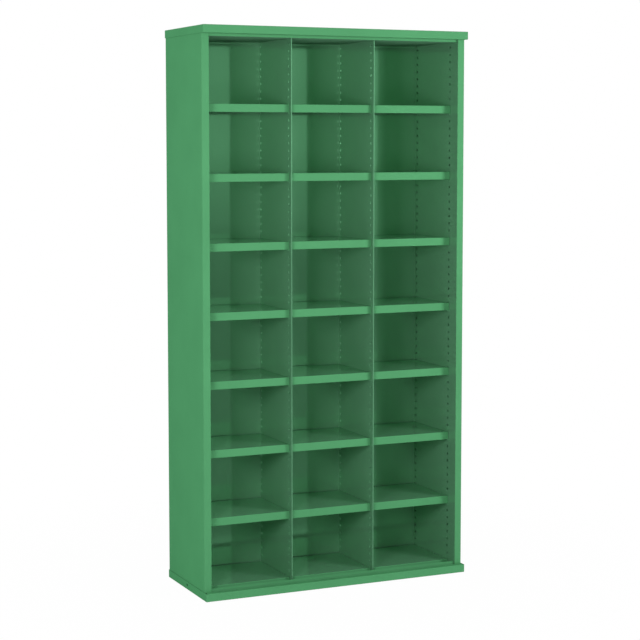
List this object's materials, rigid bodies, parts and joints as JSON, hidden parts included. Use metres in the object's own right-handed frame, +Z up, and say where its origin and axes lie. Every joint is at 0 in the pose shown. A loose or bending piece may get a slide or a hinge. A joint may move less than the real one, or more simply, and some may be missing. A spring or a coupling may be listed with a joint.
{
  "type": "bin cabinet",
  "caption": "Open-fronted sheet steel bin cabinet: a grid of compartments between perforated partitions, with lipped shelves that lift off their studs.",
  "frame": {"origin": "on the floor, under the middle of the cabinet", "axes": "+Z up, the open front faces -Y, +X to the right of someone who looks into the front"},
  "size_m": [0.937, 0.355, 1.82],
  "materials": {
    "shell_paint": "semi-gloss green powder coat",
    "inside_paint": "semi-gloss green powder coat",
    "shelf_paint": "semi-gloss green powder coat"
  },
  "bodies": {
    "cabinet": {"top_cap": "shell_paint", "base_tray": "shell_paint", "side_panel_left": "shell_paint", "side_panel_right": "shell_paint", "inner_wall_left": "inside_paint", "inner_wall_right": "inside_paint", "partition_left": "inside_paint", "partition_right": "inside_paint", "rear_panel": "inside_paint", "ceiling_panel": "inside_paint", "footer_rail": "shell_paint"},
    "shelf_left_1": {"shelf_left_1": "shelf_paint"},
    "shelf_left_2": {"shelf_left_2": "shelf_paint"},
    "shelf_left_3": {"shelf_left_3": "shelf_paint"},
    "shelf_left_4": {"shelf_left_4": "shelf_paint"},
    "shelf_left_5": {"shelf_left_5": "shelf_paint"},
    "shelf_left_6": {"shelf_left_6": "shelf_paint"},
    "shelf_left_7": {"shelf_left_7": "shelf_paint"},
    "shelf_left_8": {"shelf_left_8": "shelf_paint"},
    "shelf_middle_1": {"shelf_middle_1": "shelf_paint"},
    "shelf_middle_2": {"shelf_middle_2": "shelf_paint"},
    "shelf_middle_3": {"shelf_middle_3": "shelf_paint"},
    "shelf_middle_4": {"shelf_middle_4": "shelf_paint"},
    "shelf_middle_5": {"shelf_middle_5": "shelf_paint"},
    "shelf_middle_6": {"shelf_middle_6": "shelf_paint"},
    "shelf_middle_7": {"shelf_middle_7": "shelf_paint"},
    "shelf_middle_8": {"shelf_middle_8": "shelf_paint"},
    "shelf_right_1": {"shelf_right_1": "shelf_paint"},
    "shelf_right_2": {"shelf_right_2": "shelf_paint"},
    "shelf_right_3": {"shelf_right_3": "shelf_paint"},
    "shelf_right_4": {"shelf_right_4": "shelf_paint"},
    "shelf_right_5": {"shelf_right_5": "shelf_paint"},
    "shelf_right_6": {"shelf_right_6": "shelf_paint"},
    "shelf_right_7": {"shelf_right_7": "shelf_paint"},
    "shelf_right_8": {"shelf_right_8": "shelf_paint"}
  },
  "joints": [
    {"name": "shelf_left_1_lift", "type": "slide", "parent": "cabinet", "child": "shelf_left_1", "axis": [0, 0, 1], "range_m": [0, 0.189]},
    {"name": "shelf_left_2_lift", "type": "slide", "parent": "cabinet", "child": "shelf_left_2", "axis": [0, 0, 1], "range_m": [0, 0.189]},
    {"name": "shelf_left_3_lift", "type": "slide", "parent": "cabinet", "child": "shelf_left_3", "axis": [0, 0, 1], "range_m": [0, 0.189]},
    {"name": "shelf_left_4_lift", "type": "slide", "parent": "cabinet", "child": "shelf_left_4", "axis": [0, 0, 1], "range_m": [0, 0.189]},
    {"name": "shelf_left_5_lift", "type": "slide", "parent": "cabinet", "child": "shelf_left_5", "axis": [0, 0, 1], "range_m": [0, 0.189]},
    {"name": "shelf_left_6_lift", "type": "slide", "parent": "cabinet", "child": "shelf_left_6", "axis": [0, 0, 1], "range_m": [0, 0.189]},
    {"name": "shelf_left_7_lift", "type": "slide", "parent": "cabinet", "child": "shelf_left_7", "axis": [0, 0, 1], "range_m": [0, 0.189]},
    {"name": "shelf_left_8_lift", "type": "slide", "parent": "cabinet", "child": "shelf_left_8", "axis": [0, 0, 1], "range_m": [0, 0.208]},
    {"name": "shelf_middle_1_lift", "type": "slide", "parent": "cabinet", "child": "shelf_middle_1", "axis": [0, 0, 1], "range_m": [0, 0.189]},
    {"name": "shelf_middle_2_lift", "type": "slide", "parent": "cabinet", "child": "shelf_middle_2", "axis": [0, 0, 1], "range_m": [0, 0.189]},
    {"name": "shelf_middle_3_lift", "type": "slide", "parent": "cabinet", "child": "shelf_middle_3", "axis": [0, 0, 1], "range_m": [0, 0.189]},
    {"name": "shelf_middle_4_lift", "type": "slide", "parent": "cabinet", "child": "shelf_middle_4", "axis": [0, 0, 1], "range_m": [0, 0.189]},
    {"name": "shelf_middle_5_lift", "type": "slide", "parent": "cabinet", "child": "shelf_middle_5", "axis": [0, 0, 1], "range_m": [0, 0.189]},
    {"name": "shelf_middle_6_lift", "type": "slide", "parent": "cabinet", "child": "shelf_middle_6", "axis": [0, 0, 1], "range_m": [0, 0.189]},
    {"name": "shelf_middle_7_lift", "type": "slide", "parent": "cabinet", "child": "shelf_middle_7", "axis": [0, 0, 1], "range_m": [0, 0.189]},
    {"name": "shelf_middle_8_lift", "type": "slide", "parent": "cabinet", "child": "shelf_middle_8", "axis": [0, 0, 1], "range_m": [0, 0.208]},
    {"name": "shelf_right_1_lift", "type": "slide", "parent": "cabinet", "child": "shelf_right_1", "axis": [0, 0, 1], "range_m": [0, 0.189]},
    {"name": "shelf_right_2_lift", "type": "slide", "parent": "cabinet", "child": "shelf_right_2", "axis": [0, 0, 1], "range_m": [0, 0.189]},
    {"name": "shelf_right_3_lift", "type": "slide", "parent": "cabinet", "child": "shelf_right_3", "axis": [0, 0, 1], "range_m": [0, 0.189]},
    {"name": "shelf_right_4_lift", "type": "slide", "parent": "cabinet", "child": "shelf_right_4", "axis": [0, 0, 1], "range_m": [0, 0.189]},
    {"name": "shelf_right_5_lift", "type": "slide", "parent": "cabinet", "child": "shelf_right_5", "axis": [0, 0, 1], "range_m": [0, 0.189]},
    {"name": "shelf_right_6_lift", "type": "slide", "parent": "cabinet", "child": "shelf_right_6", "axis": [0, 0, 1], "range_m": [0, 0.189]},
    {"name": "shelf_right_7_lift", "type": "slide", "parent": "cabinet", "child": "shelf_right_7", "axis": [0, 0, 1], "range_m": [0, 0.189]},
    {"name": "shelf_right_8_lift", "type": "slide", "parent": "cabinet", "child": "shelf_right_8", "axis": [0, 0, 1], "range_m": [0, 0.208]}
  ]
}
